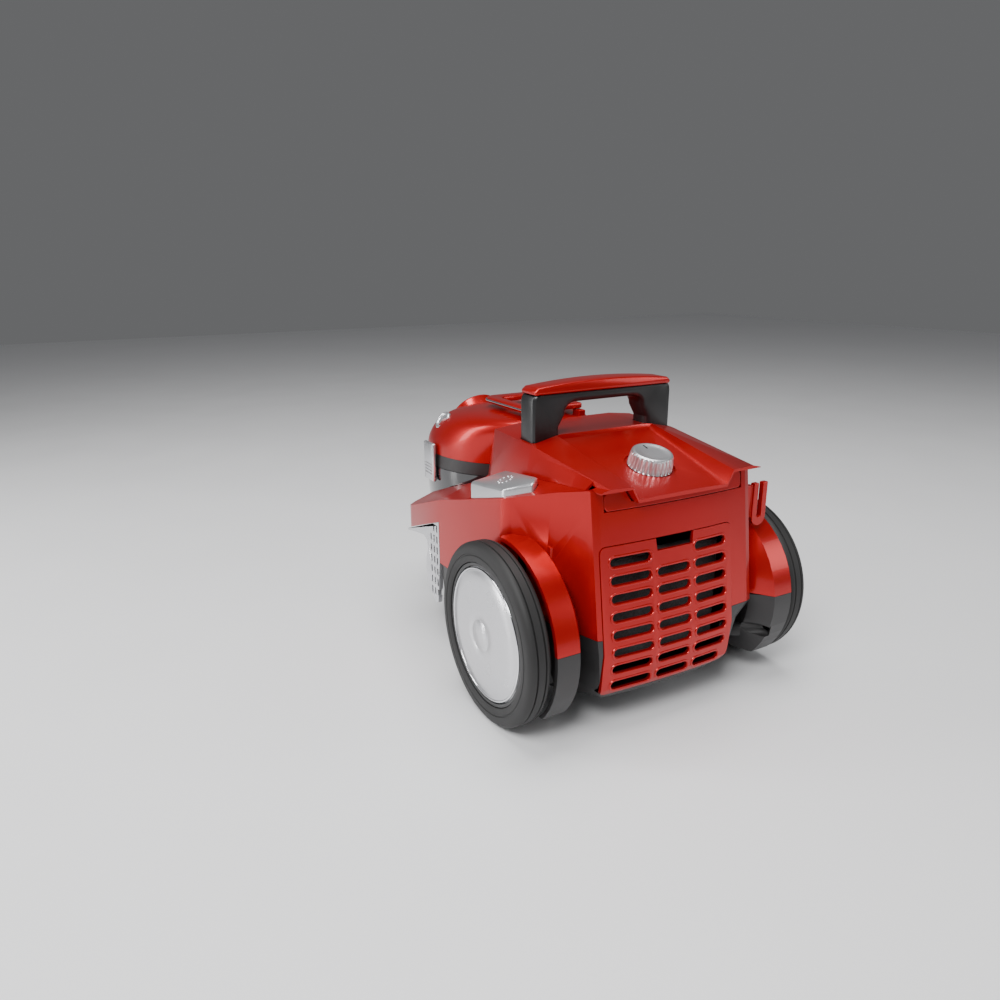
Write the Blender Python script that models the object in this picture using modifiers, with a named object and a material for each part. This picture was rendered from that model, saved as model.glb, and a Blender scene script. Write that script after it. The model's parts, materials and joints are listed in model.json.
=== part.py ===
"""Canister vacuum cleaner with a bagless dust container, as separate sub-parts.

Lengths below are in millimetres. In the outlines y is measured from the wheel axle, which lies
AXLE_Y behind the middle of the machine: +y is the exhaust end, -y the dust container, and +x is the
machine's left. The solids are made in metres, with the floor at z = 0.
"""
from math import cos, pi, radians, sin

import bmesh
import bpy
from mathutils import Matrix, Vector

MM = 0.001
GAP = 0.35                # clearance between touching pieces
WALL = 3.0                # thickness of the moulded shells
AXLE_Y = 120.0            # from the middle of the machine back to the axle

# wheels
WHEEL_R = 79.0
TYRE_OUT_X = 150.0        # outer face of the tyre
TYRE_WIDTH = 21.0
RIM_R = 62.0
HUBCAP_R = 58.0
AXLE_R = 5.0
WHEEL_STEPS = 40          # sides of the turned wheel parts

CASTER_Y = -262.0         # swivel axis
CASTER_TRAIL = 8.0
CASTER_R = 12.5

# motor body
SPLIT_Z = 88.0            # where the red shell meets the base
CREASE_X = 85.0           # rear corners
POD_X = 120.0             # outer wall of the side pods
POD_FRONT_Y = -231.0
BAY_Y = -222.0            # centre of the round container bay
BAY_R = 87.0
HUMP_X = 83.9             # half width of the top cover
DECK_EDGE = (
    # y, height at the pod's wall, height at the cover
    (-240, 122, 135),
    (-143, 155, 167.7),
    (-22, 188, 200.7),
    (56, 196, 208.5),
    (100, 196, 208.5),
)
GRILLE_X = (-58.0, 79.0)
GRILLE_Z = (36.0, 163.5)
GRILLE_HINGE = (70.5, 39.0)      # y and z of the door's hinge axis
SLOT_PITCH = 15.0
SLOT_H = 7.6
SLOT_COLUMNS = ((-50.5, -15.5), (-9.5, 24.5), (30.5, 70.0))
MUDGUARD_R = 81.0
MUDGUARD_X = (93.0, 106.0, 127.0)

# control panel and handle
PANEL_FRONT = (-39.0, 228.2)     # y and z of the panel's upper end
PANEL_REAR = (70.0, 200.0)       # and of its lip
KNOB_Y = 25.0
KNOB_R = 19.5
KNOB_H = 14.0
HANDLE_Y = -51.5
HANDLE_DEPTH = 24.0
HANDLE_POST_X = (49.0, 76.5)
HANDLE_TOP_Z = 278.0

# dust container
CUP_BOTTOM_Z = 38.5
CUP_TOP_Z = 166.0
LID_FRAME_TOP_Z = 180.0
INLET_Y = -287.0
INLET_Z = 199.0
INLET_TILT = radians(38)  # above the horizontal
INLET_R = 17.5
FLARE_STEPS = ((0, 25), (22, 25), (32, 27.5), (38, 29), (39.5, 28))   # distance outwards, radius
CYCLONE_Y = -236.0

RED = ((0.50, 0.012, 0.014), 0.28, 0.55)
DARK = ((0.035, 0.033, 0.034), 0.48, 0.0)
BLACK = ((0.012, 0.012, 0.013), 0.42, 0.0)
RUBBER = ((0.030, 0.029, 0.029), 0.68, 0.0)
SILVER = ((0.62, 0.62, 0.63), 0.34, 0.85)
STEEL = ((0.50, 0.50, 0.52), 0.26, 1.0)
SMOKED = ((0.010, 0.010, 0.012), 0.08, 0.0)
GREY = ((0.085, 0.085, 0.090), 0.42, 0.0)
FOAM = ((0.018, 0.018, 0.020), 0.95, 0.0)
COPPER = ((0.55, 0.25, 0.10), 0.35, 1.0)


# ---- scene and helpers ---------------------------------------------------------------------------

def clear_scene():
    for obj in list(bpy.data.objects):
        bpy.data.objects.remove(obj, do_unlink=True)


def collection(name):
    made = bpy.data.collections.new(name)
    bpy.context.scene.collection.children.link(made)
    return made


def place(x, y, z):
    return Vector((x, y + AXLE_Y, z)) * MM


def material(name, look):
    made = bpy.data.materials.new(name)
    made.use_nodes = True
    shader = made.node_tree.nodes["Principled BSDF"]
    colour, roughness, metallic = look
    shader.inputs["Base Color"].default_value = (*colour, 1.0)
    shader.inputs["Roughness"].default_value = roughness
    shader.inputs["Metallic"].default_value = metallic
    return made


def new_object(name, bm, pivot, where):
    """Turns a bmesh drawn in millimetres from the axle into an object whose origin is at pivot."""
    bmesh.ops.recalc_face_normals(bm, faces=bm.faces)
    to_pivot = Matrix.Scale(MM, 4) @ Matrix.Translation(-Vector(pivot))
    bmesh.ops.transform(bm, matrix=to_pivot, verts=bm.verts)
    mesh = bpy.data.meshes.new(name)
    bm.to_mesh(mesh)
    bm.free()
    mesh.shade_smooth()
    mesh.set_sharp_from_angle(angle=radians(32))
    obj = bpy.data.objects.new(name, mesh)
    obj.location = place(*pivot)
    where.objects.link(obj)
    return obj


def part(name, bm, look, pivot=(0, 0, 0)):
    obj = new_object(name, bm, pivot, PARTS)
    obj.data.materials.append(material(name, look))
    return obj


def cutter(name, bm):
    obj = new_object(name, bm, (0, 0, 0), CUTTERS)
    obj.hide_render = True
    obj.display_type = "WIRE"
    return obj


def boolean(obj, tool, operation):
    modifier = obj.modifiers.new(f"{operation.lower()} {tool.name}", "BOOLEAN")
    modifier.object = tool
    modifier.operation = operation
    modifier.solver = "EXACT"


def cut(obj, *tools):
    for tool in tools:
        boolean(obj, tool, "DIFFERENCE")


def join(obj, *tools):
    for tool in tools:
        boolean(obj, tool, "UNION")


def keep(obj, *tools):
    for tool in tools:
        boolean(obj, tool, "INTERSECT")


def soften(obj, width, segments=2, angle=35):
    modifier = obj.modifiers.new("rounded edges", "BEVEL")
    modifier.width = width * MM
    modifier.segments = segments
    modifier.limit_method = "ANGLE"
    modifier.angle_limit = radians(angle)


def arc(centre, radius, start, end, count):
    """Points on an arc, angles in degrees, both ends included."""
    steps = [radians(start + (end - start) * i / count) for i in range(count + 1)]
    return [(centre[0] + radius * cos(a), centre[1] + radius * sin(a)) for a in steps]


def outset(outline, distance):
    """Moves each side of an anticlockwise or clockwise outline outwards by distance."""
    count = len(outline)
    area = sum(a[0] * b[1] - b[0] * a[1] for a, b in zip(outline, outline[1:] + outline[:1]))
    side = 1 if area > 0 else -1
    moved = []
    for i, point in enumerate(outline):
        before = Vector(point) - Vector(outline[i - 1])
        after = Vector(outline[(i + 1) % count]) - Vector(point)
        first = Vector((before.y, -before.x)).normalized() * side
        second = Vector((after.y, -after.x)).normalized() * side
        middle = (first + second).normalized()
        reach = distance / max(middle.dot(first), 0.5)
        moved.append((point[0] + middle.x * reach, point[1] + middle.y * reach))
    return moved


def prism(outline, axis, low, high):
    """Extrudes an outline along axis: x takes (y, z) points, y takes (x, z), z takes (x, y)."""
    spots = {
        "x": lambda a, b, c: (c, a, b),
        "y": lambda a, b, c: (a, c, b),
        "z": lambda a, b, c: (a, b, c),
    }[axis]
    bm = bmesh.new()
    face = bm.faces.new([bm.verts.new(spots(a, b, low)) for a, b in outline])
    grown = bmesh.ops.extrude_face_region(bm, geom=[face])
    moved = [v for v in grown["geom"] if isinstance(v, bmesh.types.BMVert)]
    bmesh.ops.translate(bm, vec=Vector(spots(0, 0, high - low)), verts=moved)
    return bm


def box(low, high):
    bm = bmesh.new()
    size = [b - a for a, b in zip(low, high)]
    middle = [(a + b) / 2 for a, b in zip(low, high)]
    bmesh.ops.create_cube(bm, size=1.0, matrix=Matrix.Translation(middle) @ Matrix.Diagonal((*size, 1)))
    return bm


def loft(rings):
    """A closed solid through rings of points with the same count."""
    bm = bmesh.new()
    rows = [[bm.verts.new(point) for point in ring] for ring in rings]
    count = len(rows[0])
    for row, following in zip(rows, rows[1:]):
        for i in range(count):
            j = (i + 1) % count
            bm.faces.new((row[i], row[j], following[j], following[i]))
    bmesh.ops.connect_verts_nonplanar(bm, angle_limit=radians(0.01), faces=bm.faces)
    bm.faces.new(rows[0])
    bm.faces.new(rows[-1])
    return bm


def circle(centre, direction, radius, count=48):
    """A ring of points around centre, in the plane square to direction."""
    turn = Vector(direction).to_track_quat("Z", "Y").to_matrix()
    points = [(radius * cos(2 * pi * i / count), radius * sin(2 * pi * i / count), 0) for i in range(count)]
    return [Vector(centre) + turn @ Vector(point) for point in points]


def rod(start, end, radius, count=32):
    direction = Vector(end) - Vector(start)
    return loft([circle(start, direction, radius, count), circle(end, direction, radius, count)])


def cone_stack(start, direction, steps, count=48):
    """A turned solid of (distance along direction, radius) steps, closed by flat ends."""
    unit = Vector(direction).normalized()
    return loft([circle(Vector(start) + unit * d, direction, r, count) for d, r in steps])


def turned(name, profile, look, pivot, direction, steps=48):
    """A turned part: profile of (radius, height) down its outer side, swept about direction."""
    mesh = bpy.data.meshes.new(name)
    closed = profile[0][0] > 0 or profile[-1][0] > 0
    edges = [(i, i + 1) for i in range(len(profile) - 1)]
    if closed:
        edges.append((len(profile) - 1, 0))
    mesh.from_pydata([(r * MM, 0, h * MM) for r, h in profile], edges, [])
    obj = bpy.data.objects.new(name, mesh)
    PARTS.objects.link(obj)
    obj.location = place(*pivot)
    obj.rotation_euler = Vector(direction).to_track_quat("Z", "Y").to_euler()
    sweep = obj.modifiers.new("turned about its axis", "SCREW")
    sweep.axis = "Z"
    sweep.steps = steps
    sweep.render_steps = steps
    sweep.use_merge_vertices = True
    sweep.merge_threshold = 0.00001
    sweep.use_smooth_shade = True
    mesh.materials.append(material(name, look))
    return obj


def tube(name, points, radius, look, pivot=(0, 0, 0)):
    """A round wire along points, with closed ends."""
    curve = bpy.data.curves.new(name, "CURVE")
    curve.dimensions = "3D"
    curve.bevel_depth = radius * MM
    curve.bevel_resolution = 0
    curve.use_fill_caps = True
    spline = curve.splines.new("POLY")
    spline.points.add(len(points) - 1)
    for spot, point in zip(spline.points, points):
        spot.co = (*(Vector(point) - Vector(pivot)) * MM, 1.0)
    obj = bpy.data.objects.new(name, curve)
    obj.location = place(*pivot)
    curve.materials.append(material(name, look))
    PARTS.objects.link(obj)
    return obj


# ---- outlines of the motor body ------------------------------------------------------------------

def crease_y(z):
    """The rear corners lean back towards the floor."""
    return 57.0 + 0.132 * (209.0 - z)


def body_half(rear_y, corner_x, side_x, front_y):
    """Half of the body's plan, from the middle of the rear face round to the middle of the front."""
    face = [(0, rear_y + 4.0), (corner_x * 0.33, rear_y + 3.6), (corner_x * 0.66, rear_y + 2.2)]
    corner = [(corner_x - 7, rear_y + 0.6), (corner_x - 1.5, rear_y - 1.2), (corner_x, rear_y - 5.5)]
    flank = [(side_x - 23, 22), (side_x - 4.5, -12), (side_x - 1, -19), (side_x, -27)]
    front = [(side_x, front_y + 16), (side_x - 3, front_y + 5), (side_x - 11, front_y), (0, front_y)]
    return face + corner + flank + front


def body_ring(z, left, right, grow=0.0):
    """A closed plan of the body at height z, with its own half on each side."""
    outline = left + [(-x, y) for x, y in reversed(right) if x > 0]
    return [(x, y, z) for x, y in outset(outline, grow)]


def shell_rings(low_z, high_z, grow=0.0):
    """Plans of the shell at five heights: its flanks are twisted, so each span is kept short."""
    rings = []
    for i in range(5):
        z = low_z + (high_z - low_z) * i / 4
        half = body_half(crease_y(z), CREASE_X, POD_X, POD_FRONT_Y)
        rings.append(body_ring(z, half, half, grow))
    return rings


def deck_ring(y, outer_z, inner_z, drop):
    """The roof over the pods, across the body at y: it rises from the pods' walls to the cover."""
    slope = (inner_z - outer_z) / 36.0
    rim_z = outer_z - slope * 20 - drop
    half = [(140, 40), (140, rim_z), (84, inner_z - drop)]
    outline = half + [(-x, z) for x, z in reversed(half)]
    return [(x, y, z) for x, z in outline]


def side_outline(grow):
    """What is red in the side view: it steps up in front, where the silver trim sits below it."""
    return [
        (110, 50 if grow < 0 else SPLIT_Z + GAP / 2),
        (-146 - grow, 50 if grow < 0 else SPLIT_Z + GAP / 2),
        (-146 - grow, 131.4 - grow),
        (-232 - grow, 100.5 - grow),
        (-250, 100.5 - grow),
        (-250, 260),
        (110, 260),
    ]


def body_solid(name, grow, drop):
    """The red shell as a full solid, or the hollow inside it with a negative grow."""
    solid = cutter(name, loft(shell_rings(40, 240, grow)))
    roof = cutter(f"{name} roof", loft([deck_ring(*edge, drop) for edge in DECK_EDGE]))
    side = cutter(f"{name} side", prism(side_outline(grow), "x", -140, 140))
    keep(solid, roof, side)
    return solid


def grille_outline(grow):
    """The rear door, seen from behind, with rounded corners; the lower right one is larger."""
    low_x, high_x = GRILLE_X
    low_z, high_z = GRILLE_Z
    outline = arc((high_x - 5, high_z - 5), 5, 0, 90, 3)
    outline += arc((low_x + 5, high_z - 5), 5, 90, 180, 3)
    outline += arc((low_x + 12, low_z + 12), 12, 180, 270, 4)
    outline += arc((high_x - 5, low_z + 5), 5, 270, 360, 3)
    return outset(outline, grow)


def lens_outline(grow):
    """The trim panel under the cover's lip, seen from behind."""
    half = [(46.9, 196.8), (53.6, 208.0), (66, 208.3), (72.5, 203.5), (72.5, 194), (70, 191.0)]
    return outset(half + [(-x, z) for x, z in reversed(half)], grow)


# ---- motor body ----------------------------------------------------------------------------------

def mudguard(name, low_z, high_z, start, end):
    """The bulge that follows the wheel inside its tyre, between two heights, on both sides."""
    made = []
    for side in (1, -1):
        inner_x, full_x, outer_x = MUDGUARD_X
        steps = [(0, 62), (full_x - inner_x, MUDGUARD_R), (outer_x - inner_x, MUDGUARD_R)]
        turn = cone_stack((side * inner_x, 0, WHEEL_R), (side, 0, 0), steps, 48)
        bulge = cutter(f"{name} {side}", turn)
        rim = arc((0, WHEEL_R), 110, start, end, 6)
        piece = [(0, WHEEL_R if start < 0 else low_z)] + rim
        sector = cutter(f"{name} sector {side}", prism(piece, "x", -140, 140))
        band = cutter(f"{name} band {side}", box((-140, -120, low_z), (140, 120, high_z)))
        keep(bulge, sector, band)
        made.append(bulge)
    return made


def well_walls(name, low_z, high_z):
    """Closes the flank behind each wheel, where the well would open into the body."""
    made = []
    for side in (1, -1):
        wall = cutter(f"{name} {side}", rod((side * 93.6, 0, WHEEL_R), (side * 98.6, 0, WHEEL_R), 79.3, 48))
        keep(wall, cutter(f"{name} span {side}", box((-140, -14, low_z), (140, 24, high_z))))
        made.append(wall)
    return made


def wheel_wells(name):
    """The open space behind each wheel, around the bearing boss."""
    made = []
    for side in (1, -1):
        steps = [(0, 56), (3, 60), (14, 77.3), (41, 77.3)]
        well = cutter(f"{name} {side}", cone_stack((side * 99, 0, WHEEL_R), (side, 0, 0), steps, 48))
        boss = cutter(f"{name} boss {side}", rod((side * 90, 0, WHEEL_R), (side * 126, 0, WHEEL_R), 13, 32))
        rear = cutter(f"{name} rear {side}", box((-150, -8, -10), (150, 100, 200)))
        cut(well, boss)
        keep(well, rear)
        made.append(well)
    return made


def make_upper_shell():
    shell = part("upper_shell", loft(shell_rings(40, 240)), RED)
    roof = cutter("shell roof", loft([deck_ring(*edge, 0) for edge in DECK_EDGE]))
    side = cutter("shell side", prism(side_outline(0), "x", -140, 140))
    hollow = body_solid("shell hollow", -WALL, WALL)
    cut(hollow, cutter("bay wall", rod((0, BAY_Y, 20), (0, BAY_Y, 250), BAY_R + WALL, 72)))
    keep(shell, roof, side)
    cut(shell, hollow)
    join(shell, *mudguard("upper mudguard", SPLIT_Z + GAP / 2, 180, 0, 98))
    join(shell, *well_walls("upper well wall", SPLIT_Z + GAP / 2, 180))
    cut(shell, *wheel_wells("upper well"))
    cut(shell, bay_space("shell bay", 0))
    cut(shell, cutter("air port", rod((0, -150, 128), (0, -128, 128), 27, 32)))
    opening = [(84.4, -131.4), (84.4, 50), (-84.4, 50), (-84.4, -131.4)]
    cut(shell, cutter("cover opening", prism(opening, "z", 164.6, 260)))
    cut(shell, cutter("shell catch opening", box((-12.4, -140, 167.6), (12.4, -124, 176.4))))
    lens = [(73, 190.6), (73, 230), (-73, 230), (-73, 190.6)]
    cut(shell, cutter("panel opening", prism(lens, "y", 40, 90)))
    cut(shell, cutter("grille opening", prism(grille_outline(GAP), "y", 40, 100)))
    for side, name in ((1, "power"), (-1, "rewind")):
        hole = outset(pedal_outline(side), 0.6)
        cut(shell, cutter(f"{name} pedal opening", prism(hole, "z", 141, 240)))
        low_x, high_x = sorted((side * 95, side * 118.6))
        join(shell, cutter(f"{name} spring seat", box((low_x, -49, 136.5), (high_x, -31, 139.4))))


def bay_space(name, grow):
    """The round bay that takes the dust container, open to the front."""
    radius = BAY_R + grow
    outline = arc((0, BAY_Y), radius, 0, 180, 48) + [(-radius, -300), (radius, -300)]
    return cutter(name, prism(outline, "z", 10, 260))


def make_rear_trim_panel():
    panel = part("rear_trim_panel", loft(shell_rings(150, 240)), RED)
    outline = cutter("trim panel outline", prism(lens_outline(0), "y", 40, 90))
    inside = cutter("trim panel inside", loft(shell_rings(140, 250, -WALL)))
    keep(panel, outline)
    cut(panel, inside)
    return panel


BASE_LEVELS = (
    # height, rear, left corner, right corner, side, front
    (20.0, 50.0, 62.0, 48.0, 106.0, -104.0),
    (30.0, 64.0, 74.0, 57.0, 113.0, -132.0),
    (42.0, 71.5, 80.0, 61.0, 118.0, -150.0),
    (75.0, 74.5, 84.0, 68.0, 120.0, -152.0),
    (SPLIT_Z - GAP / 2, 73.0, 85.0, 85.0, 120.0, -152.0),
)


def base_rings(grow):
    rings = []
    for z, rear, left_x, right_x, side_x, front in BASE_LEVELS:
        left = body_half(rear, left_x, side_x, front)
        right = body_half(rear, right_x, side_x, front)
        rings.append(body_ring(z, left, right, grow))
    return rings


def make_base():
    base = part("base", loft(base_rings(0)), DARK)
    inner = base_rings(-WALL)
    floor = [(x, y, z + WALL) for x, y, z in inner[0]]
    lid = [(x, y, z + 20) for x, y, z in inner[-1]]
    hollow = cutter("base hollow", loft([floor] + inner[1:] + [lid]))
    cut(hollow, cutter("base bay wall", rod((0, BAY_Y, 0), (0, BAY_Y, 250), BAY_R + WALL, 72)))
    cut(base, hollow)
    join(base, *mudguard("lower mudguard", 24, SPLIT_Z - GAP / 2, -52, 7))
    join(base, *well_walls("lower well wall", 30, SPLIT_Z - GAP / 2))
    for side in (1, -1):
        boss = rod((side * 90, 0, WHEEL_R), (side * 126, 0, WHEEL_R), 8.5, 32)
        join(base, cutter(f"axle boss {side}", boss))
    cut(base, *wheel_wells("lower well"))
    cut(base, bay_space("base bay", 0))
    tongue = [(58, -118)] + arc((0, -258), 56, 0, -180, 24) + [(-58, -118)]
    join(base, cutter("tongue", prism(tongue, "z", 30, 37)))
    cut(base, cutter("axle hole", rod((-140, 0, WHEEL_R), (140, 0, WHEEL_R), AXLE_R + GAP, 24)))
    cut(base, cutter("caster hole", rod((0, CASTER_Y, 20), (0, CASTER_Y, 45), 6.4, 24)))
    cut(base, cutter("base grille opening", prism(grille_outline(GAP), "y", 40, 100)))
    low_x, high_x = GRILLE_X
    cut(base, cutter("door swing", rod((low_x - 1, *GRILLE_HINGE), (high_x + 1, *GRILLE_HINGE), 4.6, 24)))
    cut(base, cutter("base trim seat left", prism(outset(trim_outline(), 0.4), "x", 112, 130)))
    cut(base, cutter("base trim seat right", prism(outset(trim_outline(), 0.4), "x", -130, -112)))
    cut(base, cutter("cord hole", rod((-60, 40, 52), (-110, 75, 52), 6.5, 24)))
    return base


def make_exhaust_grille():
    levels = (
        (32.0, 66.0), (42.0, 71.5), (75.0, 74.5), (SPLIT_Z, 73.0), (170.0, crease_y(170.0)),
    )
    rings = []
    backs = []
    for z, rear in levels:
        half = body_half(rear + 0.6, CREASE_X, POD_X, POD_FRONT_Y)
        rings.append(body_ring(z, half, half))
        backs.append(body_ring(z, half, half, -WALL))
    grille = part("exhaust_grille", loft(rings), RED, (0, *GRILLE_HINGE))
    keep(grille, cutter("grille outline", prism(grille_outline(-0.2), "y", 40, 100)))
    below = [(x, y, z - 9) for x, y, z in backs[0]]
    above = [(x, y, z + 9) for x, y, z in backs[-1]]
    cut(grille, cutter("grille back", loft([below] + backs + [above])))
    top_row = GRILLE_Z[1] - 13.5
    for row in range(8):
        z = top_row - row * SLOT_PITCH
        for column, (low, high) in enumerate(SLOT_COLUMNS):
            if row == 0 and column == 1:
                continue
            if row == 7 and column == 0:
                low += 5
            radius = SLOT_H / 2
            outline = arc((high - radius, z), radius, -90, 90, 4) + arc((low + radius, z), radius, 90, 270, 4)
            cut(grille, cutter(f"slot {row} {column}", prism(outline, "y", 40, 100)))
    notch = [(-13, 153), (24, 153), (26, 170), (-15, 170)]
    cut(grille, cutter("finger notch", prism(notch, "y", 40, 100)))
    return grille


def cover_ring(y, points, shrink, floor_z):
    """A cross-section of the top cover: middle, panel edge, inner ridge, outer ridge, flank, foot."""
    half = []
    for i, (x, z) in enumerate(points):
        aside = 0.6 if i in (1, 2) else -1
        half.append((max(x + aside * shrink, 0), z - shrink))
    half.append((half[-1][0], floor_z))
    outline = [(x, z) for x, z in half] + [(0, floor_z)] + [(-x, z) for x, z in reversed(half) if x > 0]
    return [(x, y, z) for x, z in outline]


def cover_rings(shrink, floor_z):
    front = ((0, 178), (48, 178), (54, 177.6), (72, 177), (HUMP_X, 170))
    crest = ((0, 231.5), (48, 231.5), (53, 231.5), (79, 228.5), (HUMP_X, 179))
    brow = ((0, 231.5), (48, 231.5), (53, 231.5), (79, 225.8), (HUMP_X, 199))
    step = ((0, 228.2), (48, 228.2), (53, 231.5), (79, 225.5), (HUMP_X, 199.5))
    rear = ((0, 200.6), (46.5, 200.0), (53, 211), (75, 212), (HUMP_X, 209.8))
    return [
        cover_ring(-131 + shrink, front, shrink, floor_z),
        cover_ring(-104 + shrink * 0.5, crest, shrink, floor_z),
        cover_ring(PANEL_FRONT[0] - 1.5 - shrink * 0.3, brow, shrink, floor_z),
        cover_ring(PANEL_FRONT[0] + 1.5 - shrink * 0.3, step, shrink, floor_z),
        cover_ring(PANEL_REAR[0] - shrink, rear, shrink, floor_z),
    ]


def panel_point(y, lift=0.0):
    """A point on the control panel's middle line, raised by lift square to it."""
    slope = (PANEL_REAR[1] - PANEL_FRONT[1]) / (PANEL_REAR[0] - PANEL_FRONT[0])
    normal = Vector((0, -slope, 1)).normalized()
    return Vector((0, y, PANEL_FRONT[1] + slope * (y - PANEL_FRONT[0]))) + normal * lift, normal


def make_top_cover():
    cover = part("top_cover", loft(cover_rings(0, 165)), RED)
    cut(cover, cutter("cover hollow", loft(cover_rings(2.8, 150))))
    cut(cover, cutter("catch opening", box((-12.4, -136, 167.6), (12.4, -124, 176.4))))
    lip = [(-92, 140), (92, 140), (92, 209.2), (53.4, 208.9), (46.6, 197.2)]
    lip += [(-46.6, 197.2), (-53.4, 208.9), (-92, 209.2)]
    cut(cover, cutter("lip underside", prism(lip, "y", 49.4, 80)))
    throat = [(-47, 150), (47, 150), (47, 199), (-47, 199)]
    cut(cover, cutter("lip inside", prism(throat, "y", 40, 55)))
    pocket, normal = panel_point(KNOB_Y, -1.2)
    cut(cover, cutter("knob pocket", rod(pocket, pocket + normal * 12, KNOB_R + 2.5, 48)))
    cut(cover, cutter("knob hole", rod(pocket - normal * 12, pocket + normal * 12, 4 + GAP, 24)))
    for side in (1, -1):
        post = outset(handle_foot(side), GAP)
        cut(cover, cutter(f"post opening {side}", prism(post, "z", 205, 260)))


def handle_foot(side):
    """The plan of one handle post."""
    low_x, high_x = HANDLE_POST_X
    depth = HANDLE_DEPTH / 2
    rounding = 3.5
    outline = []
    corners = ((high_x, HANDLE_Y + depth, 0), (low_x, HANDLE_Y + depth, 90), (low_x, HANDLE_Y - depth, 180),
               (high_x, HANDLE_Y - depth, 270))
    for x, y, start in corners:
        inward_x = x - rounding if x == high_x else x + rounding
        inward_y = y - rounding if y > HANDLE_Y else y + rounding
        outline += arc((inward_x, inward_y), rounding, start, start + 90, 4)
    return [(side * x, y) for x, y in outline]


def make_handle():
    outer = [(-76.5, 222), (-76.5, 259)] + arc((-66.5, 261.5), 10, 180, 90, 4)
    outer += arc((66.5, 261.5), 10, 90, 0, 4) + [(76.5, 259), (76.5, 222), (49, 222), (49, 238)]
    inner = arc((32, 248), 11, 0, 90, 5) + arc((-32, 248), 11, 90, 180, 5) + [(-49, 238), (-49, 222)]
    grip = part("handle_grip", prism(outer + inner, "y", HANDLE_Y - 12, HANDLE_Y + 12), BLACK)
    soften(grip, 4.5, 3, 50)
    cut(grip, cutter("strip seat", box((-90, HANDLE_Y - 20, 267), (90, HANDLE_Y + 20, 290))))
    low = [(-74, 267.4), (74, 267.4), (75.5, 270.5)]
    crown = arc((0, HANDLE_TOP_Z - 640), 640, 83.6, 96.4, 10)
    outline = low + crown + [(-75.5, 270.5)]
    strip = part("handle_strip", prism(outline, "y", HANDLE_Y - 12, HANDLE_Y + 12), RED)
    soften(strip, 2.5, 2, 40)


def make_knob():
    base, normal = panel_point(KNOB_Y, -0.8)
    profile = [(0, KNOB_H), (15.5, KNOB_H), (17.5, KNOB_H - 0.8), (18.4, KNOB_H - 2.5), (KNOB_R, 1.0)]
    profile += [(KNOB_R - 0.6, 0), (0, 0)]
    knob = turned("power_knob", profile, SILVER, tuple(base), normal, 48)
    flutes = 24
    for i in range(flutes):
        angle = 2 * pi * i / flutes
        turn = normal.to_track_quat("Z", "Y").to_matrix()
        across = turn @ Vector((cos(angle), sin(angle), 0))
        start = base + across * (KNOB_R + 0.9) + normal * 1.5
        cut(knob, cutter(f"flute {i}", rod(start, start + (normal - across * 0.11) * 16, 1.6, 6)))
    cut(knob, cutter("knob socket", rod(base - normal * 2, base + normal * 7, 3 + GAP, 20)))
    low, _ = panel_point(KNOB_Y, -24)
    rod_mesh = cone_stack(low, normal, [(0, 9), (10, 9), (10.5, 3), (29.5, 3)], 20)
    part("knob_shaft", rod_mesh, BLACK, tuple(low))


def pedal_outline(side):
    """The plan of a foot pedal, on the left pod for side 1."""
    corners = ((117, -82), (117, -22), (101, 1), (91, -8), (90.5, -62))
    return [(side * x, y) for x, y in corners]


def make_pedal(name, side):
    pedal = part(name, prism(pedal_outline(side), "z", 158, 240), SILVER, (side * 104, -40, 190))
    corners = ((125, -100, 183.5), (125, 20, 198.3), (80, 20, 214), (80, -100, 199.2))
    top = [(side * x, y, z) for x, y, z in corners]
    above = [(x, y, z + 60) for x, y, z in top]
    cut(pedal, cutter(f"{name} top", loft([top, above])))
    soften(pedal, 2.6, 3, 30)
    inside = outset(pedal_outline(side), -2.4)
    cut(pedal, cutter(f"{name} inside", prism(inside, "z", 150, 171)))
    spring_points = []
    turns = 5
    for i in range(turns * 10 + 1):
        angle = 2 * pi * i / 10
        height = 140.5 + 29 * i / (turns * 10)
        spring_points.append((side * 104 + 5 * cos(angle), -40 + 5 * sin(angle), height))
    word = "left" if side > 0 else "right"
    tube(f"pedal_spring_{word}", spring_points, 0.7, STEEL, (side * 104, -40, 140))


def trim_outline():
    """The silver trim in the side view: a long upper point, slotted strip and a curved lower tip."""
    return [
        (-147, 131), (-147, 90), (-150, 60), (-153, 42), (-157, 40),
        (-166, 47), (-176, 58), (-181, 70), (-180, 82), (-175, 94),
        (-176, 102), (-184, 106.5), (-205, 103.5), (-226, 99.3), (-228, 101),
    ]


def make_side_trim(name, side):
    trim = part(name, prism(trim_outline(), "x", side * 115.5, side * 120.2), SILVER)
    for column, y in enumerate((-152, -159, -166)):
        for row in range(7):
            z = 122 - row * 11.5
            if z < 52 or (column == 2 and row == 0):
                continue
            outline = [(y - 1.6, z - 3.6), (y + 1.6, z - 3.6), (y + 1.6, z + 3.6), (y - 1.6, z + 3.6)]
            cut(trim, cutter(f"{name} slot {column} {row}", prism(outline, "x", -130, 130)))


def make_parking_clip():
    """A flat U on the rear right corner that takes the parked tool's hook."""
    outline = [(-98.8, 188), (-115.4, 188)] + arc((-107, 156), 8.4, 180, 360, 8)
    clip = part("parking_clip", prism(outline, "y", 47, 52), RED)
    slot = arc((-107, 158), 2.6, 180, 360, 6) + [(-104.4, 200), (-109.6, 200)]
    cut(clip, cutter("clip slot", prism(slot, "y", 30, 60)))
    root = [(-90.4, 156), (-90.4, 186), (-100, 186), (-100, 156)]
    join(clip, cutter("clip root", prism(root, "y", 44, 50)))
    return clip


# ---- wheels --------------------------------------------------------------------------------------

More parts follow.
